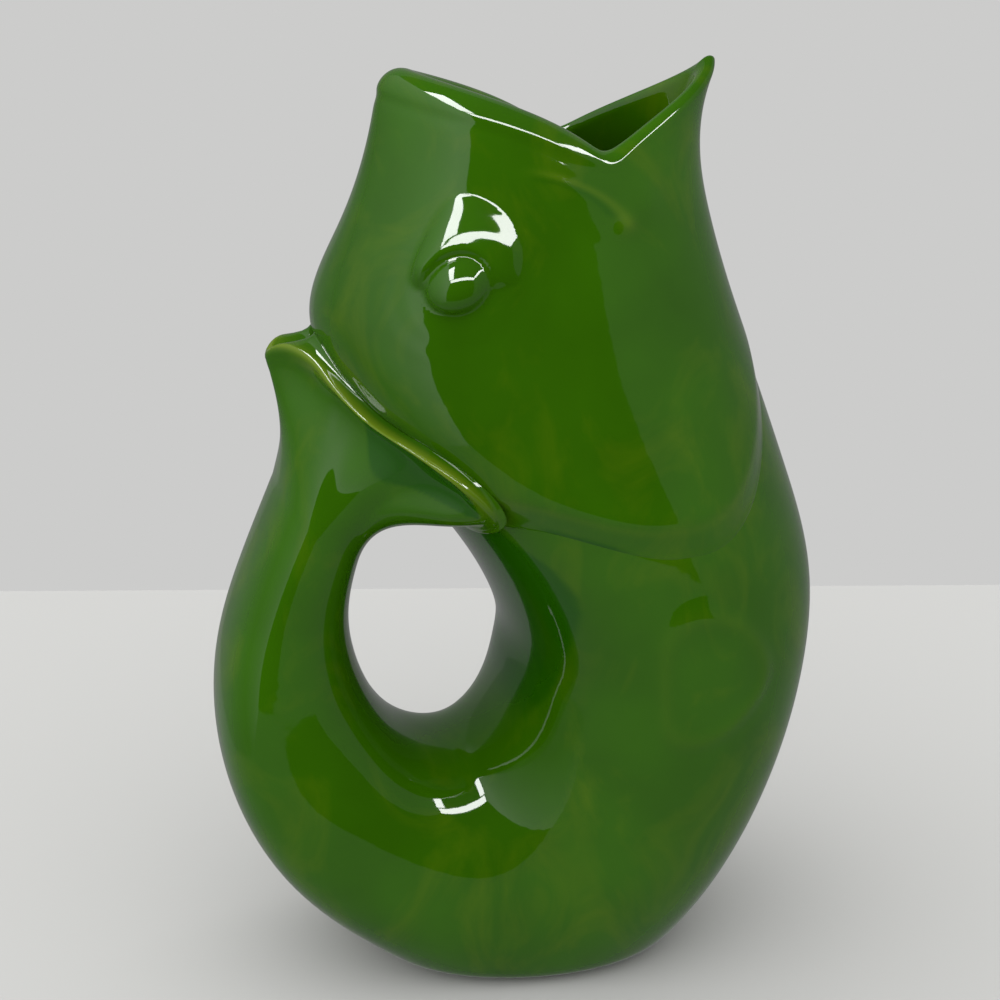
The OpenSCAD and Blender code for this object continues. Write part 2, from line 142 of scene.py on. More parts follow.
def spline(rows, t):
    # uniform cubic spline through rows at whole steps, running straight on past both ends
    rows = np.asarray(rows, float)
    rows = rows[:, None] if rows.ndim == 1 else rows
    rows = np.concatenate([2 * rows[:1] - rows[1:2], rows, 2 * rows[-1:] - rows[-2:-1]])
    i = np.floor(t).astype(int)
    f = (t - i)[..., None]
    return blend([rows[np.clip(i + k, 0, len(rows) - 1)] for k in range(4)], f)


def skin(u, angle, depth):
    # station u, angle round the section (0 at the throat, 180 at the back), depth under the skin:
    # an ellipse swollen a little at its four corners, narrower to one end by the egg share
    u, angle, depth = np.broadcast_arrays(*[np.asarray(v, float) for v in (u, angle, depth)])
    row = spline(fish["stations"], u)
    back = row[..., 0:2] * [fish["length"], height]
    belly = row[..., 2:4] * [fish["length"], height]
    reach = np.linalg.norm(belly - back, axis=-1) / 2
    along = (belly - back) / (2 * reach[..., None])
    swell = 2 * (2 ** (0.5 - 1 / spline(fish["fullness"], u)[..., 0]) - 1)
    c, s = np.cos(np.radians(angle)), np.sin(np.radians(angle))
    p = (back + belly) / 2 + along * ((reach - depth) * c * (1 + swell * s * s))[..., None]
    y = (row[..., 4] * fish["width"] / 2 - depth) * s * (1 + swell * c * c)
    y = y * (1 + spline(fish["egg"], u)[..., 0] * c)
    y = y * (1 - spline(fish["nose"], u)[..., 0] * np.minimum(0, c) ** 2)
    rest = fish["footHeight"] + np.maximum(0, depth) * fish["base"] / fish["wall"]
    return np.stack([p[..., 0], y, softMax(p[..., 1], rest, fish["footFillet"])], -1)


def stationAt(z):
    return (fish["firstStation"] * height - z) / (fish["stationStep"] * height)


def fold(angle):
    return np.abs((np.asarray(angle, float) + 180) % 360 - 180)


# Mouth and gill lines
mouth = dict(noseDrop=1.0, cornerDrop=22.5, cornerAngle=74.0, softness=0.05, round=2.2,
             jawPower=0.57, spoutPower=0.66)
# The gill edge lies at lowShare of the height on the flanks, climbs by backShare towards the nape
# and by rise towards the throat. Pairs are (where a change starts, over how much it goes on).
gill = dict(lowShare=0.543, backShare=0.036, backFrom=(88.0, 37.0), frontAngle=82.0, rise=46.0,
            overhang=4.0, leastLedge=0.4, throatShare=0.35, throatTo=(20.0, 50.0), napeFrom=(158.0, 24.0),
            flare=58.0, stepBelow=5.0, stepAbove=5.0, stepSoftness=0.16, under=3.0, sink=0.6, sinkOver=2.5,
            thin=0.08, thinAt=3.0, thinBreadth=1.6,
            line=-5.5, lineBreadth=1.4, lineFrom=(98.0, 8.0), lineTo=(124.0, 6.0))


def rimHeight(angle):
    # from the corner of the mouth the rim climbs back to the nose and forward to the spout
    a, m = fold(angle), mouth
    corner, soft = m["cornerAngle"], m["softness"]
    behind = a > corner
    t = np.where(behind, (a - corner) / (180 - corner), (corner - a) / corner)
    t = np.sqrt(t * t + soft ** 2) - soft
    rise = np.where(behind, np.maximum(0, np.sin(np.pi / 2 * t)) ** m["jawPower"],
                    (t / (1 - soft)) ** m["spoutPower"])
    # the corner itself is rounded
    r = m["round"] / m["cornerDrop"]
    rise = (np.hypot(rise, r) - r) / (np.hypot(1, r) - r)
    climb = np.where(behind, m["cornerDrop"] - m["noseDrop"], m["cornerDrop"])
    return height - m["cornerDrop"] + rise * climb


def gillHeight(angle):
    a = fold(angle)
    return (height * (gill["lowShare"] + gill["backShare"] * after(gill["backFrom"], a))
            + gill["rise"] * ease((gill["frontAngle"] - a) / gill["frontAngle"]))


def ledge(angle):
    # how far the gill cover stands out at its edge: most on the flanks, least at the nape
    a = fold(angle)
    throat = gill["throatShare"]
    share = (throat + (1 - throat) * after(gill["throatTo"], a)) * before(gill["napeFrom"], a)
    return gill["leastLedge"] + (gill["overhang"] - gill["leastLedge"]) * share


def flare(angle, z):
    # the gill cover's rise over the skin, from nothing up on the head to the ledge at its edge
    return ledge(angle) * ease(1 - (z - gillHeight(angle)) / gill["flare"])


def spot(angle, z, place):
    # steps in millimetres from a place on the head or belly: towards the throat, and up
    a0, z0 = place
    e = 0.5
    across = np.linalg.norm(skin(stationAt(z0), a0 + e, 0) - skin(stationAt(z0), a0 - e, 0)) / (2 * e)
    up = np.linalg.norm(skin(stationAt(z0 + e), a0, 0) - skin(stationAt(z0 - e), a0, 0)) / (2 * e)
    return (a0 - fold(angle)) * across, (z - z0) * up


def turned(x, y, angle):
    c, s = np.cos(np.radians(angle)), np.sin(np.radians(angle))
    return x * c + y * s, y * c - x * s


# Relief of the head
eye = dict(place=(117.0, 0.805 * height), radius=8.4, rise=4.8, groove=0.2, stand=1.2,
           browPlace=(123.5, 0.822 * height), browFront=21.5, browBehind=8.0, browUp=19.5, browDown=9.0,
           browLean=1.5, browRise=5.2, browPower=0.8, browSkirtPower=1.5, socketFrom=(6.0, 5.0),
           socketShare=0.25, grooveOut=0.4, grooveBreadth=1.8, corner=1.0,
           ripple=0.2, rippleRadii=(15.0, 22.0), rippleFarShare=0.7, rippleBreadth=2.6)
jaw = dict(place=(88.5, 0.876 * height), length=37.0, breadth=11.0, taper=0.3, tilt=-26.0, rise=0.35,
           leafTo=(1.4, 0.9), tipOver=12.0,
           bossPlace=(70.9, 0.8506 * height), bossRadius=3.0, bossRise=0.6,
           bulgePlace=(63.6, 0.872 * height), bulgeRadius=6.5, bulgeRise=1.0,
           olive=0.2, oliveAt=1.0, oliveBreadth=0.16, oliveFrom=(-1.0, 3.0), bossOlive=0.1,
           crease=0.55, creaseAt=0.72, creaseBreadth=0.13, creaseFrom=(0.3, 1.5))


def headRelief(angle, z):
    # height over the head of the brow dome, the eyeball in its groove, the jaw leaf, its boss and
    # the bulge at the jaw's hinge; with it, how thin the glaze lies there and how dark the painted shade is
    # in the leaf's crease
    def away(place):
        return np.hypot(*spot(angle, z, place))

    r = away(eye["place"])
    ballRadius = (eye["radius"] ** 2 + eye["rise"] ** 2) / (2 * eye["rise"])
    ball = np.sqrt(np.maximum(ballRadius ** 2 - r * r, 1e-6)) - (ballRadius - eye["rise"])
    ball = np.where(r < ballRadius, ball, -9)
    bx, by = spot(angle, z, eye["browPlace"])
    climb = np.minimum(np.where(by > 0, by / eye["browUp"], (by / eye["browDown"]) ** 2), 1)
    # the dome's crest lies near its back edge and leans forward a little as it climbs
    bx = bx - eye["browLean"] * np.clip(climb, 0, 1)
    wide = np.where(bx > 0, eye["browFront"], eye["browBehind"]) * np.sqrt(np.maximum(1 - climb ** 2, 1e-3))
    power = np.where(by > 0, eye["browPower"], eye["browSkirtPower"])
    brow = eye["browRise"] * (1 - climb) ** power * np.maximum(1 - (bx / wide) ** 2, 0)
    share = eye["socketShare"]
    brow = brow * (share + (1 - share) * after(eye["socketFrom"], r))
    near, far = [bell((r - radius) / eye["rippleBreadth"]) for radius in eye["rippleRadii"]]
    ripple = eye["ripple"] * (near + eye["rippleFarShare"] * far)
    lift = softMax(brow + ripple, ball + eye["stand"], eye["corner"])
    lift = lift - eye["groove"] * bell((r - eye["radius"] - eye["grooveOut"]) / eye["grooveBreadth"])
    jx, jy = turned(*spot(angle, z, jaw["place"]), jaw["tilt"])
    # 0 in the middle of the leaf and 1 on its outline, which is broader towards the throat
    leafBreadth = jaw["breadth"] / 2 * (1 + jaw["taper"] * jx / jaw["length"])
    leaf = np.hypot(jx / (jaw["length"] / 2), jy / leafBreadth)
    lift = lift + jaw["rise"] * before(jaw["leafTo"], leaf)
    boss = away(jaw["bossPlace"])
    lift = lift + jaw["bossRise"] * bell(boss / jaw["bossRadius"])
    lift = lift + jaw["bulgeRise"] * bell(away(jaw["bulgePlace"]) / jaw["bulgeRadius"])
    along = ease((jx + jaw["length"] / 2) / jaw["tipOver"])
    edge = bell((leaf - jaw["oliveAt"]) / jaw["oliveBreadth"])
    thin = jaw["olive"] * edge * along * after(jaw["oliveFrom"], jy)
    thin = thin + jaw["bossOlive"] * bell(boss / jaw["bossRadius"])
    # painted shade: the crease where the leaf folds under the rim is coloured darker
    crease = jaw["crease"] * bell((leaf - jaw["creaseAt"]) / jaw["creaseBreadth"])
    crease = crease * along * after(jaw["creaseFrom"], jy)
    return lift, thin, crease


# Meshes from grids
def gridNormals(p):
    # normals of a grid of rings: the cross product of the steps along and round, closed round
    along = np.gradient(p, axis=0)
    around = (np.roll(p, -1, 1) - np.roll(p, 1, 1)) / 2
    n = np.cross(around, along)
    return n / np.maximum(np.linalg.norm(n, axis=-1, keepdims=True), 1e-9)


def ringFaces(rows, columns, closed):
    # quads between neighbouring rings; closed joins the last ring to the first
    j = np.arange(rows if closed else rows - 1)[:, None]
    i = np.arange(columns)[None, :]
    k, l = (j + 1) % rows, (i + 1) % columns
    return np.stack([j * columns + i, j * columns + l, k * columns + l, k * columns + i], -1).reshape(-1, 4)


def makeMesh(name, points, quads, triangles=None, attributes=None):
    mesh = bpy.data.meshes.new(name)
    triangles = np.zeros((0, 3), int) if triangles is None else np.asarray(triangles)
    loops = np.concatenate([np.asarray(quads).ravel(), triangles.ravel()]).astype(np.int32)
    starts = np.concatenate([np.arange(len(quads)) * 4, len(quads) * 4 + np.arange(len(triangles)) * 3])
    for part, values in ((mesh.vertices, points), (mesh.loops, loops), (mesh.polygons, starts)):
        part.add(len(values))
    mesh.vertices.foreach_set("co", (np.asarray(points) * mm).astype(np.float32).ravel())
    mesh.loops.foreach_set("vertex_index", loops)
    mesh.polygons.foreach_set("loop_start", starts.astype(np.int32))
    mesh.update(calc_edges=True)
    mesh.validate()
    for key, values in (attributes or {}).items():
        layer = mesh.attributes.new(key, "FLOAT", "POINT")
        layer.data.foreach_set("value", np.asarray(values, np.float32).ravel())
    mesh.polygons.foreach_set("use_smooth", np.ones(len(mesh.polygons), bool))
    return linked(name, mesh)


def poleFaces(ring, pole, outward):
    pair = [ring, np.roll(ring, -1)]
    return np.stack((pair if outward else pair[::-1]) + [np.full_like(ring, pole)], -1)


def spread(parts):
    # a rising list of numbers from runs of (start, end, count)
    return np.concatenate([np.linspace(a, b, n, endpoint=False) for a, b, n in parts] + [[parts[-1][1]]])


# Head with its soft lip
lip = dict(height=9.5, thickness=12.0, bead=6.0, crestShare=0.5, groove=0.3, grooveUnder=1.5,
           grooveBreadth=1.8, roundShare=0.45, neckShare=0.75, fullFrom=12.0, fullOver=30.0)
headColumns, bodyColumns = 320, 256


def roundAngles(count, dense):
    # angles round the jug, closer together on its sides by the share dense
    t = np.arange(count) / count * 360
    return t + dense * np.degrees(np.sin(np.radians(2 * t))) / 2


def lipFullness(angle):
    # how far the rim is a rolled lip: fully at the jaw, a plain edge at the spout
    return ease((fold(angle) - mouth["cornerAngle"] + lip["fullFrom"]) / lip["fullOver"])


def crestDepth(angle):
    return fish["wall"] / 2 + (lip["thickness"] * lip["crestShare"] - fish["wall"] / 2) * lipFullness(angle)


def innerDepth(angle):
    return fish["wall"] + (lip["thickness"] - fish["wall"]) * lipFullness(angle)


def headOuter(angle, z, depth):
    # the skin, pushed out by the flare of the gill cover, with an S-shaped step down to the belly
    # at the gill line, and by the relief
    s = z - gillHeight(angle)
    t = (s + gill["stepBelow"]) / (gill["stepAbove"] + gill["stepBelow"])
    soft = gill["stepSoftness"]
    step = (np.hypot(t, soft) - np.hypot(t - 1, soft) + 1) / 2
    lift, thin, crease = headRelief(angle, z)
    edge = bell((s - gill["thinAt"]) / gill["thinBreadth"])
    thin = thin + gill["thin"] * edge * np.minimum(ledge(angle) / gill["overhang"], 1)
    return skin(stationAt(z), angle, depth - flare(angle, z) * step - lift), thin, crease


def makeHead():
    # rings up the outside, over the lip in two quarter rounds, and down the inside
    a = roundAngles(headColumns, 0.35)[None, :]
    low = gillHeight(a) - gill["stepBelow"] - gill["under"]
    rim = rimHeight(a)
    up = spread([(0, 0.12, 26), (0.12, 1, 138)])[:, None]
    g = np.radians(spread([(0, 90, 26)])[1:, None])
    bead = fish["wall"] / 2 + (lip["bead"] - fish["wall"] / 2) * lipFullness(a)
    z = np.concatenate([low + (rim - bead - low) * up, rim - bead * (1 - np.sin(g))])
    arc = np.concatenate([0 * up, g])
    groove = bell((z - rim + bead + lip["grooveUnder"]) / lip["grooveBreadth"])
    depth = crestDepth(a) * (1 - np.cos(arc)) + lip["groove"] * lipFullness(a) * groove
    outer, thin, crease = headOuter(a, z, depth)
    # under the gill step the skin dips below the belly's own
    sunk = ease((gillHeight(a) - gill["stepBelow"] - z) / gill["sinkOver"]) * gill["sink"]
    outer = outer - gridNormals(outer) * sunk[..., None]
    h = np.radians(np.linspace(0, 90, 13)[1:, None])
    within = skin(stationAt(rim - lip["height"] * lip["roundShare"] * (1 - np.cos(h))), a,
                  crestDepth(a) + (innerDepth(a) - crestDepth(a)) * np.sin(h))
    k = np.linspace(0, 1, 9)[1:, None]
    neck = skin(stationAt(rim - lip["height"] * (lip["roundShare"] + lip["neckShare"] * k)), a,
                innerDepth(a) + (fish["wall"] - innerDepth(a)) * ease(k))
    k = np.linspace(0, 1, 26)[1:, None]
    top = rim - lip["height"] * (lip["roundShare"] + lip["neckShare"])
    inner = skin(stationAt(top + (low - top) * k), a, fish["wall"])
    rows = np.concatenate([outer, within, neck, inner])
    # painted shadow: a dark line under the edge of the gill
    line = bell((z - gillHeight(a) - gill["line"]) / gill["lineBreadth"])
    shaded = crease + line * after(gill["lineFrom"], fold(a)) * before(gill["lineTo"], fold(a))
    thin, shaded = [np.concatenate([v, np.zeros((len(rows) - len(v), headColumns))]) for v in (thin, shaded)]
    return makeMesh("headAndLip", rows.reshape(-1, 3), ringFaces(len(rows), headColumns, True),
                    attributes={"thinGlaze": thin, "paintedShade": shaded})


head = makeHead()
print("head made", len(head.data.polygons))

# Belly, tail and tail fin
sideFin = dict(place=(88.0, 0.38 * height), reach=52.0, rise=0.8, flatShare=0.4, flatTo=(1.25, 0.5),
               ridgeAt=0.92, ridgeBreadth=0.14, olive=0.06, oliveBreadth=0.12,
               shares=[0.31, 0.34, 0.46, 0.52, 0.42, 0.36, 0.37, 0.34, 0.35, 0.43, 0.45, 0.33])
# the fin's outline on the nape: degrees from the back and shares of the height, from its crown down
# over the lobe to its foot. Its rim is made of rows of (share of the outline, share of the stand).
tailFin = dict(stand=16.0, lobe=5.0, middle=0.628, root=0.50, edge=0.34, outward=0.5, dish=0.8,
               back=2.4, gap=0.2,
               outline=[[0, .712], [3, .727], [8, .724], [16, .705], [22, .679], [28, .659], [42, .649],
                        [52.5, .611], [52, .569], [40, .552], [28, .547], [14, .544], [0, .543]],
               lobeTo=45.0, runOut=(100.0, 35.0), crownTo=(20.0, 45.0), turnIn=(100.0, 50.0),
               leanFrom=(40.0, 30.0), leanTo=(125.0, 25.0), straightTo=(75.0, 60.0),
               dishFrom=(0.4, 0.45), dishTo=(0.99, 0.1), dishLobe=(105.0, 30.0), dishColumn=(50.0, 8.0),
               dishShare=0.25, tuckShare=0.3, tuckTo=(48.0, 34.0), sink=1.5,
               last=0.96, reach=0.16, crownRound=0.15, crownStand=0.75,
               olive=0.75, oliveFrom=(0.95, 0.04), oliveTo=(95.0, 30.0), oliveRows=(8.0, 5.0),
               crownOlive=(4.0, 2.0),
               lobeRim=[(0.972, 1.0), (0.982, 0.985), (0.992, 0.93), (1.002, 0.84), (1.012, 0.70),
                        (1.022, 0.54), (1.036, 0.38), (1.055, 0.24), (1.077, 0.13), (1.102, 0.05),
                        (1.13, -0.04)],
               crownFillet=[(1.01, 0.5), (1.03, 0.25), (1.06, 0.08), (1.1, -0.04)])

# where painted shade lies: shares of the height with the angle from which it is dark, and the fin's lobe
shadeAt = dict(hollow=[[.25, 168], [.29, 155], [.34, 146], [.40, 138], [.46, 125], [.48, 123], [.51, 125],
                    [.54, 133], [.57, 138]],
            soft=4.0, lobeAngle=96.0, lobeSpread=25.0, lobeStart=0.45, lobeBend=0.4, lobeSoft=0.05,
            lobeTo=(0.97, 0.02), lobeEnd=(1.1, 0.1))


def bellyRelief(angle, z):
    # the side fin: a low plateau with a soft ridge along its outline
    x, y = spot(angle, z, sideFin["place"])
    q = np.degrees(np.arctan2(y, -x)) % 360
    # three rounds of the shares, so that the spline closes in the middle one
    count = len(sideFin["shares"])
    reach = spline(sideFin["shares"] * 3, q * count / 360 + count)[..., 0] * sideFin["reach"]
    rho = np.hypot(x, y) / reach
    ridge = bell((rho - sideFin["ridgeAt"]) / sideFin["ridgeBreadth"])
    flat = sideFin["flatShare"]
    lift = sideFin["rise"] * (flat * before(sideFin["flatTo"], rho) + (1 - flat) * ridge)
    thin = sideFin["olive"] * bell((rho - sideFin["ridgeAt"]) / sideFin["oliveBreadth"])
    return np.where(rho < 2, lift, 0), thin


def finOutline(q):
    # angle and height of the fin's outline, a spline mirrored past both ends
    rows = np.array(tailFin["outline"], float)
    n = len(rows) - 1
    t = n * fold(q) / 180
    i = np.floor(t).astype(int)
    f = (t - i)[..., None]
    mirrored = np.concatenate([rows[:0:-1] * [-1, 1], rows, rows[-2::-1] * [-1, 1]])
    p = blend([mirrored[i + k - 1 + n] for k in range(4)], f)
    side = np.where(np.asarray(q) % 360 > 180, -1, 1)
    return 180 - side * p[..., 0], p[..., 1] * height


def finEdge(q):
    # how far the fin's edge stands off the nape: most at the crown, nothing where it runs out below
    a = fold(q)
    lobe = tailFin["stand"] + (tailFin["lobe"] - tailFin["stand"]) * ease(a / tailFin["lobeTo"])
    return lobe + (tailFin["gap"] - lobe) * after(tailFin["runOut"], a)


def nape(angle, z, k, lift):
    # a point at the height lift over the nape, moved to the share k from the fin's middle
    a = 180 + (angle - 180) * k
    h = tailFin["middle"] * height + (z - tailFin["middle"] * height) * k
    return skin(stationAt(h), a, -flare(a, h) - tailFin["gap"] - lift)


def crown(q):
    # 1 at the top of the fin, where its rim is a broad round, and 0 on the lobes
    return 1 - after(tailFin["crownTo"], fold(q))


def unit(v):
    return v / np.maximum(np.linalg.norm(v, axis=-1, keepdims=True), 1e-9)


def finLoft(q, t):
    # curve of third degree from the end of the tail to the fin's free edge on the nape
    angle, z = finOutline(q)
    stand = finEdge(q)
    start = skin(fish["tailEnd"], q, 0)
    leave = unit(start - skin(fish["tailEnd"] - 0.1, q, 0))
    last = tailFin["last"] + (1 - tailFin["crownRound"] - tailFin["last"]) * crown(q)
    edge = nape(angle, z, last, stand)
    over = unit(edge - nape(angle, z, last - tailFin["reach"], stand))
    into = unit(nape(angle, z, 1, 0) - nape(angle, z, 1, tailFin["stand"]))
    w = after(tailFin["turnIn"], fold(q))[..., None]
    # the lobes' face leans outward under its rim
    lean = after(tailFin["leanFrom"], fold(q)) * before(tailFin["leanTo"], fold(q))
    finish = unit(over * (1 - w) + into * (w - tailFin["outward"] * lean[..., None]))
    way = np.linalg.norm(edge - start, axis=-1, keepdims=True)
    c1, c2 = start + leave * way * tailFin["root"], edge - finish * way * tailFin["edge"]
    # the back of the column keeps straight up to the crown
    full = tailFin["back"] * 4 * t * (1 - t) * before(tailFin["straightTo"], fold(q))[..., None]
    curve = (1 - t) ** 3 * start + 3 * (1 - t) ** 2 * t * c1 + 3 * (1 - t) * t * t * c2 + t ** 3 * edge
    return curve - into * full


def makeBody():
    # rings from under the gill cover down the belly and round the tail, over the fin, and then back
    # through the inside
    n, insideRings = bodyColumns, 50
    a = roundAngles(n, 0.0)[None, :]
    top = stationAt(gillHeight(a) + gill["under"])
    t = spread([(0, 0.08, 20), (0.08, 1, 190)])[:, None]
    u = top + (fish["tailEnd"] - top) * t
    base = skin(u, a, 0)
    lift, thin = bellyRelief(a, base[..., 2])
    onBelly = before(fish["bellyTo"], u)
    outer = skin(u, a, -lift * onBelly)
    # the first rings are tucked in under the gill cover
    tuck = fish["tuck"] * before(fish["tuckTo"], t)
    outer = outer + gridNormals(outer) * (tuck * np.ones_like(u))[..., None]
    thin = thin * onBelly
    run = spread([(0, 0.75, 26), (0.75, 1, 30)])[1:, None]
    fin = np.stack([finLoft(a[0], s) for s in run[:, 0]])
    # the fin's face is dished below its rim, down to where it runs out onto the flank, and the
    # dish deepens sharply beside the straight column
    least = tailFin["dishShare"]
    dish = tailFin["dish"] * after(tailFin["dishFrom"], run) * before(tailFin["dishTo"], run)
    dish = dish * (1 - after(tailFin["dishLobe"], fold(a)))
    dish = dish * (least + (1 - least) * after(tailFin["dishColumn"], fold(a)))
    fin = fin + gridNormals(fin) * dish[..., None]
    # its rim rolls over and runs out into the nape
    angle, z = finOutline(a[0])
    stand = finEdge(a[0])
    w = crown(a[0])
    least = tailFin["tuckShare"]
    tuckIn = least + (1 - least) * before(tailFin["tuckTo"], fold(a[0]))
    r, high = tailFin["crownRound"], tailFin["crownStand"]
    g = np.radians(np.arange(13, 92, 13))
    crownRim = [*zip(1 - r + r * np.sin(g), high + (1 - high) * np.cos(g)), *tailFin["crownFillet"]]
    hem = np.stack([nape(angle, z, (1 + (k - 1) * np.where(k > 1, tuckIn, 1)) * (1 - w) + kc * w,
                         stand * (s * (1 - w) + sc * w))
                    for (k, s), (kc, sc) in zip(tailFin["lobeRim"], crownRim)])
    # and the hole that the rim leaves is closed under the nape's skin
    cap = np.stack([nape(angle, z, k, -tailFin["sink"]) for k in (0.95, 0.7, 0.4, 0.15)])
    rows = np.concatenate([outer, fin, hem, cap])
    row = np.arange(len(hem))[:, None]
    middle, breadth = tailFin["crownOlive"]
    hemThin = before(tailFin["oliveRows"], row) * (1 - w) + bell((row - middle) / breadth) * w
    finThin = np.concatenate([after(tailFin["oliveFrom"], run) * (1 - w), hemThin, np.zeros((len(cap), n))])
    thin = np.concatenate([thin, tailFin["olive"] * finThin * (1 - after(tailFin["oliveTo"], fold(a)))])
    # painted shade: a darker green in the hollow beside the finger hole and under the fin's rim
    edge = np.interp(base[..., 2] / height, *np.array(shadeAt["hollow"]).T)
    hollow = ease((fold(a) - edge) / shadeAt["soft"]) * onBelly
    across = np.abs(fold(a) - shadeAt["lobeAngle"]) / shadeAt["lobeSpread"]
    under = ease((run - shadeAt["lobeStart"] - shadeAt["lobeBend"] * across ** 2) / shadeAt["lobeSoft"])
    under = under * before(shadeAt["lobeTo"], run) * before(shadeAt["lobeEnd"], across)
    shaded = np.concatenate([hollow, under, np.zeros((len(hem) + len(cap), n))])
    # inside: the belly's wall and the bore, whose end is closed
    boreEnd = fish["tailEnd"] - fish["boreShort"] / (height * fish["stationStep"])
    k = np.linspace(0, 1, insideRings)[:, None]
    inside = skin(boreEnd + (stationAt(gillHeight(a)) - boreEnd) * k, a, fish["wall"])
    poles = np.stack([rows[-1].mean(0), inside[0].mean(0)])
    points = np.concatenate([rows.reshape(-1, 3), inside.reshape(-1, 3), poles])
    m = len(rows)
    # the last ring inside meets the first ring outside
    i = np.arange(n)
    j = (i + 1) % n
    last = (m + insideRings - 1) * n
    quads = np.concatenate([ringFaces(m, n, False), ringFaces(insideRings, n, False) + m * n,
                            np.stack([last + i, last + j, j, i], -1)])
    ends = np.concatenate([poleFaces((m - 1) * n + i, len(points) - 2, True),
                           poleFaces(m * n + i, len(points) - 1, False)])
    within = np.zeros(insideRings * n + len(poles))
    thin, shaded = [np.concatenate([v.ravel(), within]) for v in (thin, shaded)]
    return makeMesh("bodyAndTail", points, quads, ends,
                    attributes={"thinGlaze": thin, "paintedShade": shaded})


body = makeBody()
print("body made", len(body.data.polygons))

# Foot ring
foot = dict(centre=3.72, length=70.0, width=58.0, breadth=6.0, height=2.0, squareness=6.0, ovalness=2.3)


def makeFoot():
    # a rounded rectangle of bare clay carried round an oval
    def loop(count, power):
        # cosines and sines round a superellipse of that power
        t = np.arange(count) * 2 * np.pi / count
        return [np.sign(v) * np.abs(v) ** (2 / power) for v in (np.cos(t), np.sin(t))]

    n = 128
    (across, up), (c, s) = loop(24, foot["squareness"]), loop(n, foot["ovalness"])
    inset = foot["breadth"] / 2 * (1 - across)
    z = foot["height"] / 2 * (1 + up)
    x = foot["centre"] + (foot["length"] / 2 - inset[:, None]) * c[None, :]
    y = (foot["width"] / 2 - inset[:, None]) * s[None, :]
    rows = np.stack([x, y, np.broadcast_to(z[:, None], x.shape)], -1)
    return makeMesh("footRing", rows.reshape(-1, 3), ringFaces(len(rows), n, True))


footRing = makeFoot()


def facesOutward(thing):
    # signed volume of the closed mesh; a negative one is turned
    mesh = thing.data
    mesh.calc_loop_triangles()
    v = np.zeros((len(mesh.vertices), 3))
    mesh.vertices.foreach_get("co", v.ravel())
    t = np.zeros((len(mesh.loop_triangles), 3), int)
    mesh.loop_triangles.foreach_get("vertices", t.ravel())
    volume = np.einsum("ij,ij->i", v[t[:, 0]], np.cross(v[t[:, 1]], v[t[:, 2]])).sum() / 6
    if volume < 0:
        mesh.flip_normals()
    print(thing.name, "volume cm3", round(volume * 1e6, 1), "triangles", len(t))


for thing in (head, body, footRing):
    facesOutward(thing)


# Materials
def srgb(hexText):
    # sRGB hex to linear
    v = np.array([int(hexText[i:i + 2], 16) / 255 for i in (1, 3, 5)])
    return tuple(np.where(v <= 0.04045, v / 12.92, ((v + 0.055) / 1.055) ** 2.4)) + (1.0,)


def addNode(tree, kind, settings=None, links=None):
    # one node with its settings (its own or its sockets') and what feeds its sockets
    node = tree.nodes.new(kind)
    for key, value in (settings or {}).items():
        if key in node.inputs:
            node.inputs[key].default_value = value
        else:
            setattr(node, key, value)
    for key, source in (links or {}).items():
        tree.links.new(source, node.inputs[key])
    return node


def newMaterial(name):
    material = bpy.data.materials.new(name)
    material.use_nodes = True
    material.node_tree.nodes.clear()
    return material, material.node_tree


def mixed(tree, share, under, over):
    # colour under with colour over laid on it by share; each is a colour or a socket
    node = addNode(tree, "ShaderNodeMix", dict(data_type="RGBA"))
    for i, value in ((0, share), (6, under), (7, over)):
        if isinstance(value, tuple):
            node.inputs[i].default_value = value
        else:
            tree.links.new(value, node.inputs[i])
    return node.outputs[2]


def ramp(tree, value, low, high, least=0.0, most=1.0):
    # least to most as the value goes from low to high
    node = addNode(tree, "ShaderNodeMapRange",
                   {"From Min": low, "From Max": high, "To Min": least, "To Max": most}, dict(Value=value))
    return node.outputs["Result"]


def painted(tree, attribute, amount):
    # the mesh's own attribute times the amount, at most 1
    source = addNode(tree, "ShaderNodeAttribute", dict(attribute_name=attribute))
    product = addNode(tree, "ShaderNodeMath", dict(operation="MULTIPLY", use_clamp=True),
                      {0: source.outputs["Fac"]})
    product.inputs[1].default_value = amount
    return product.outputs[0]


# the darkest green is painted shade, laid in hollows, creases and under edges; the olive is thin glaze over
# edges
glaze = dict(deep="#264e00", usual="#2d5a01", streak="#546a06", shaded="#104400", thin="#7c8c22",
             thinAmount=0.6, shadedAmount=0.75, streakAmount=0.32, roughness=0.045, ior=1.5)
clay = dict(dark="#b9ab90", pale="#d6cbb4", roughness=0.85, ior=1.5)
# how many of a pattern go into a metre: clouds are about 45 mm wide, streaks 28 mm, the waviness of
# the gloss 4 mm and the clay's grain 1 mm
perMetre = dict(cloud=22.0, streak=36.0, peel=260.0, grain=900.0)


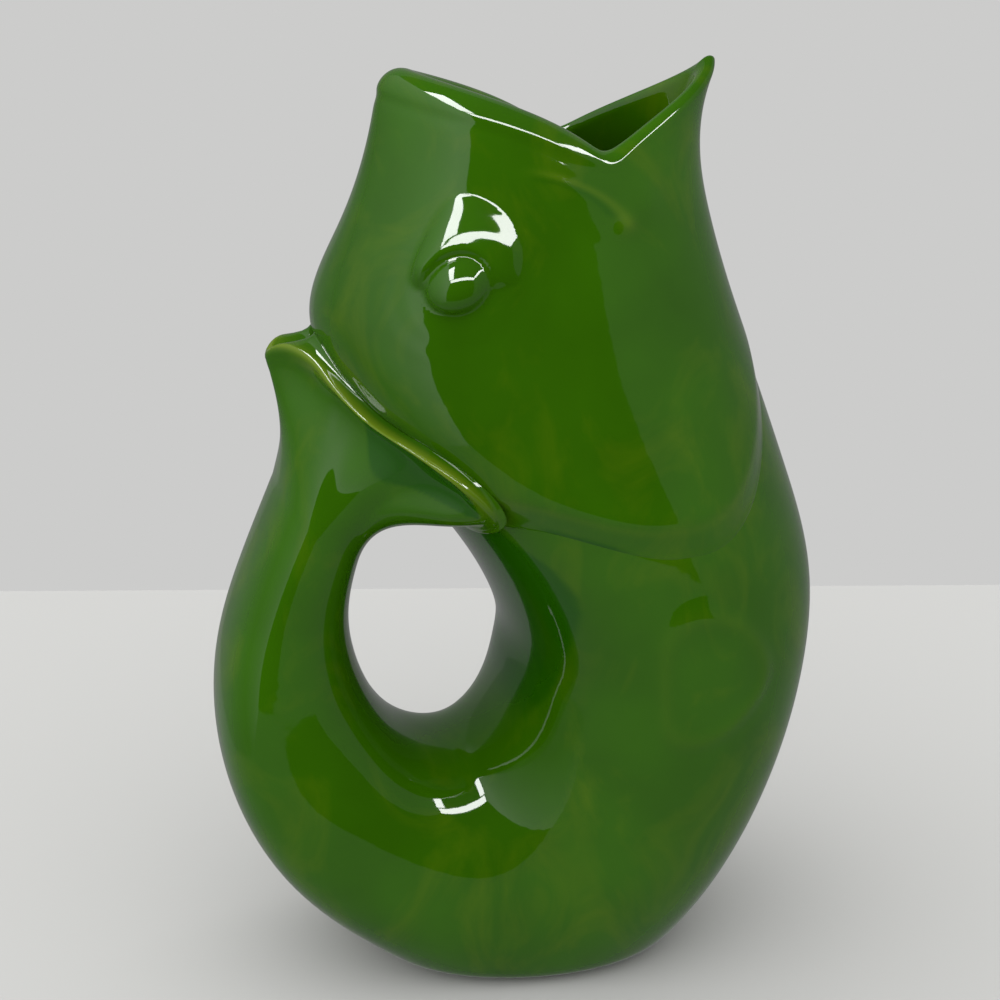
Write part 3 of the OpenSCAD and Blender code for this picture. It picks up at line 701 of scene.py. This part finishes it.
def makeGlaze():
    # Clear green glaze on pale stoneware, dipped and fired to a full gloss: a glassy skin that thins to
    # olive over edges, with painted shade: a darker green laid in hollows, creases and under edges
    material, tree = newMaterial("greenGlazeDippedStoneware")
    where = addNode(tree, "ShaderNodeTexCoord").outputs["Object"]
    cloud = addNode(tree, "ShaderNodeTexNoise", dict(Scale=perMetre["cloud"], Detail=3.0, Roughness=0.5),
                    dict(Vector=where))
    clouds = ramp(tree, cloud.outputs["Fac"], 0.35, 0.75)
    colour = mixed(tree, clouds, srgb(glaze["deep"]), srgb(glaze["usual"]))
    # streaks where the glaze ran: noise drawn out downwards and stirred
    drawn = addNode(tree, "ShaderNodeMapping", {"Scale": (1.0, 1.0, 0.7), "Rotation": (0.0, 0.5, 0.4)},
                    dict(Vector=where))
    run = addNode(tree, "ShaderNodeTexNoise",
                  dict(Scale=perMetre["streak"], Detail=5.0, Roughness=0.6, Distortion=1.2),
                  dict(Vector=drawn.outputs["Vector"]))
    streaks = ramp(tree, run.outputs["Fac"], 0.50, 0.75, most=glaze["streakAmount"])
    colour = mixed(tree, streaks, colour, srgb(glaze["streak"]))
    colour = mixed(tree, painted(tree, "thinGlaze", glaze["thinAmount"]), colour, srgb(glaze["thin"]))
    # painted shade: the hollow by the finger hole, under the fin's rim, the jaw's crease and under the gill
    # edge go darker
    colour = mixed(tree, painted(tree, "paintedShade", glaze["shadedAmount"]), colour, srgb(glaze["shaded"]))
    # the faint waviness of a fired glaze, which softens what it mirrors
    peel = addNode(tree, "ShaderNodeTexNoise", dict(Scale=perMetre["peel"], Detail=1.0), dict(Vector=where))
    finishMaterial(tree, glaze, colour, peel.outputs["Fac"], dict(Strength=0.03, Distance=0.0006))
    return material


def makeClay():
    # Bare fired clay, wiped clean of glaze: matt, pale, with fine sandy grain
    material, tree = newMaterial("bareFiredClay")
    where = addNode(tree, "ShaderNodeTexCoord").outputs["Object"]
    noise = addNode(tree, "ShaderNodeTexNoise", dict(Scale=perMetre["grain"], Detail=3.0), dict(Vector=where))
    grain = noise.outputs["Fac"]
    colour = mixed(tree, grain, srgb(clay["dark"]), srgb(clay["pale"]))
    finishMaterial(tree, clay, colour, grain, dict(Strength=0.3, Distance=0.0003))
    return material


def finishMaterial(tree, look, colour, relief, depth):
    bump = addNode(tree, "ShaderNodeBump", depth, dict(Height=relief))
    shader = addNode(tree, "ShaderNodeBsdfPrincipled", dict(Roughness=look["roughness"], IOR=look["ior"]),
                     {"Base Color": colour, "Normal": bump.outputs["Normal"]})
    addNode(tree, "ShaderNodeOutputMaterial", None, dict(Surface=shader.outputs["BSDF"]))


greenGlaze, bareClay = makeGlaze(), makeClay()
for thing, material, slot, nodes in (
        (head, greenGlaze, "green_glaze",
         ("lip", "head", "left_eye", "right_eye", "left_jaw_fold", "right_jaw_fold")),
        (body, greenGlaze, "green_glaze",
         ("belly", "underbelly", "tail_handle", "tail_fin", "left_side_fin", "right_side_fin")),
        (footRing, bareClay, "bare_clay", ("foot_ring",))):
    thing.data.materials.append(material)
    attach(thing, "root")
    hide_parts(*nodes)
print("materials on")

# Stage and light
# The jug stands in a white light tent with an open front, square to the camera. The tent is seen
# only in reflections: its walls are stage meshes that glossy rays alone meet, and the plain world
# does the lighting.
tent = dict(turn=cameraPlace["azimuth"], left=-0.25, right=0.58, front=-0.48, back=0.30, top=0.72, wall=0.24,
            leftBack=0.18, leftFront=1.12, leftFade=(0.18, 0.80), ceiling=0.08, room=0.02,
            floor="#b8b8b6", floorFront=-0.51, floorEdge=0.003, floorReach=2.5, backdrop="#cccccb",
            world=(0.5, 2.0), worldFade=(-0.2, 1.0), lightFrom=(-0.45, -0.30, 0.84),
            ledStrength=20.0, ledBreadth=0.11, ledGap=0.02, ledBack=-0.02, ledUnder=0.005)


def emission(name, strength):
    # white light, of one strength or, where it is a function, of what that makes in the node tree
    material, tree = newMaterial(name)
    graded = callable(strength)
    glow = addNode(tree, "ShaderNodeEmission", None if graded else dict(Strength=strength),
                   dict(Strength=strength(tree)) if graded else None)
    addNode(tree, "ShaderNodeOutputMaterial", None, dict(Surface=glow.outputs["Emission"]))
    return material


def distance(tree, output, direction):
    # how far along the direction the place is that the Texture Coordinate output gives
    place = addNode(tree, "ShaderNodeTexCoord")
    along = addNode(tree, "ShaderNodeVectorMath", dict(operation="DOT_PRODUCT"), {0: place.outputs[output]})
    along.inputs[1].default_value = direction
    return along.outputs["Value"]


def panel(name, corners, material, reflectedOnly=True):
    # a flat panel in the tent's own axes, turned with the tent
    c, s = np.cos(np.radians(tent["turn"])), np.sin(np.radians(tent["turn"]))
    mesh = bpy.data.meshes.new(name)
    mesh.from_pydata([(x * c - y * s, x * s + y * c, z) for x, y, z in corners], [], [(0, 1, 2, 3)])
    mesh.materials.append(material)
    thing = linked(name, mesh)
    if reflectedOnly:
        thing.visible_camera = thing.visible_diffuse = thing.visible_shadow = False
        thing.visible_transmission = thing.visible_volume_scatter = False


def makeStage():
    t = tent
    cloth, ceiling = emission("tentCloth", t["wall"]), emission("tentCeiling", t["ceiling"])
    led = emission("ledBar", t["ledStrength"])
    l, r, f, b, h = t["left"], t["right"], t["front"], t["back"], t["top"]
    sine, cosine = np.sin(np.radians(t["turn"])), np.cos(np.radians(t["turn"]))
    # the left wall glows most towards its front and its top
    lit = emission("tentClothLit", lambda tree: ramp(
        tree, distance(tree, "Object", (sine, -cosine, 1)), *t["leftFade"], t["leftBack"], t["leftFront"]))
    panel("tentLeft", [(l, f, 0), (l, b, 0), (l, b, h), (l, f, h)], lit)
    panel("tentRight", [(r, f, 0), (r, b, 0), (r, b, h), (r, f, h)], cloth)
    panel("tentBack", [(l, b, 0), (r, b, 0), (r, b, h), (l, b, h)], cloth)
    panel("tentTop", [(l, f, h), (r, f, h), (r, b, h), (l, b, h)], ceiling)
    # bright bars along the front and side edges of the ceiling
    w, g, h = t["ledBreadth"], t["ledGap"], h - t["ledUnder"]
    panel("ledFront", [(l + g, f, h), (r - g, f, h), (r - g, f + w, h), (l + g, f + w, h)], led)
    e = t["ledBack"]
    panel("ledLeft", [(l, f + g + w, h), (l + w, f + g + w, h), (l + w, e, h), (l, e, h)], led)
    panel("ledRight", [(r - w, f + g + w, h), (r, f + g + w, h), (r, e, h), (r - w, e, h)], led)
    # the floor: pale and matt, ending at the backdrop; in reflections it is bright as far as the
    # tent's front
    material, tree = newMaterial("paleMattFloor")
    edge, soft = t["floorFront"], t["floorEdge"]
    backwards = distance(tree, "Object", (-sine, cosine, 0))
    inside = ramp(tree, backwards, edge - soft, edge + soft, t["room"], t["wall"])
    glow = addNode(tree, "ShaderNodeEmission", None, dict(Strength=inside))
    matt = addNode(tree, "ShaderNodeBsdfDiffuse", dict(Color=srgb(t["floor"])))
    path = addNode(tree, "ShaderNodeLightPath")
    both = addNode(tree, "ShaderNodeMixShader", None,
                   {0: path.outputs["Is Glossy Ray"], 1: matt.outputs["BSDF"], 2: glow.outputs["Emission"]})
    addNode(tree, "ShaderNodeOutputMaterial", None, dict(Surface=both.outputs["Shader"]))
    e = t["floorReach"]
    panel("floor", [(-e, -e, 0), (e, -e, 0), (e, b, 0), (-e, b, 0)], material, False)
    world = bpy.data.worlds.new("plainRoom")
    bpy.context.scene.world = world
    world.use_nodes = True
    tree = world.node_tree
    tree.nodes.clear()
    path = addNode(tree, "ShaderNodeLightPath")
    seen = addNode(tree, "ShaderNodeBackground", dict(Color=srgb(t["backdrop"]), Strength=1.0))
    mirrored = addNode(tree, "ShaderNodeBackground", dict(Color=(1, 1, 1, 1), Strength=t["room"]))
    # the light on the jug is soft and a little stronger from the upper left
    level = ramp(tree, distance(tree, "Generated", t["lightFrom"]), *t["worldFade"], *t["world"])
    soft = addNode(tree, "ShaderNodeBackground", dict(Color=(1, 1, 1, 1)), dict(Strength=level))
    lighting = addNode(tree, "ShaderNodeMixShader", None,
                       {0: path.outputs["Is Glossy Ray"], 1: soft.outputs[0], 2: mirrored.outputs[0]})
    result = addNode(tree, "ShaderNodeMixShader", None,
                     {0: path.outputs["Is Camera Ray"], 1: lighting.outputs[0], 2: seen.outputs[0]})
    addNode(tree, "ShaderNodeOutputWorld", None, dict(Surface=result.outputs[0]))


makeStage()
bpy.context.scene.view_settings.view_transform = "Standard"
print("stage and light set")
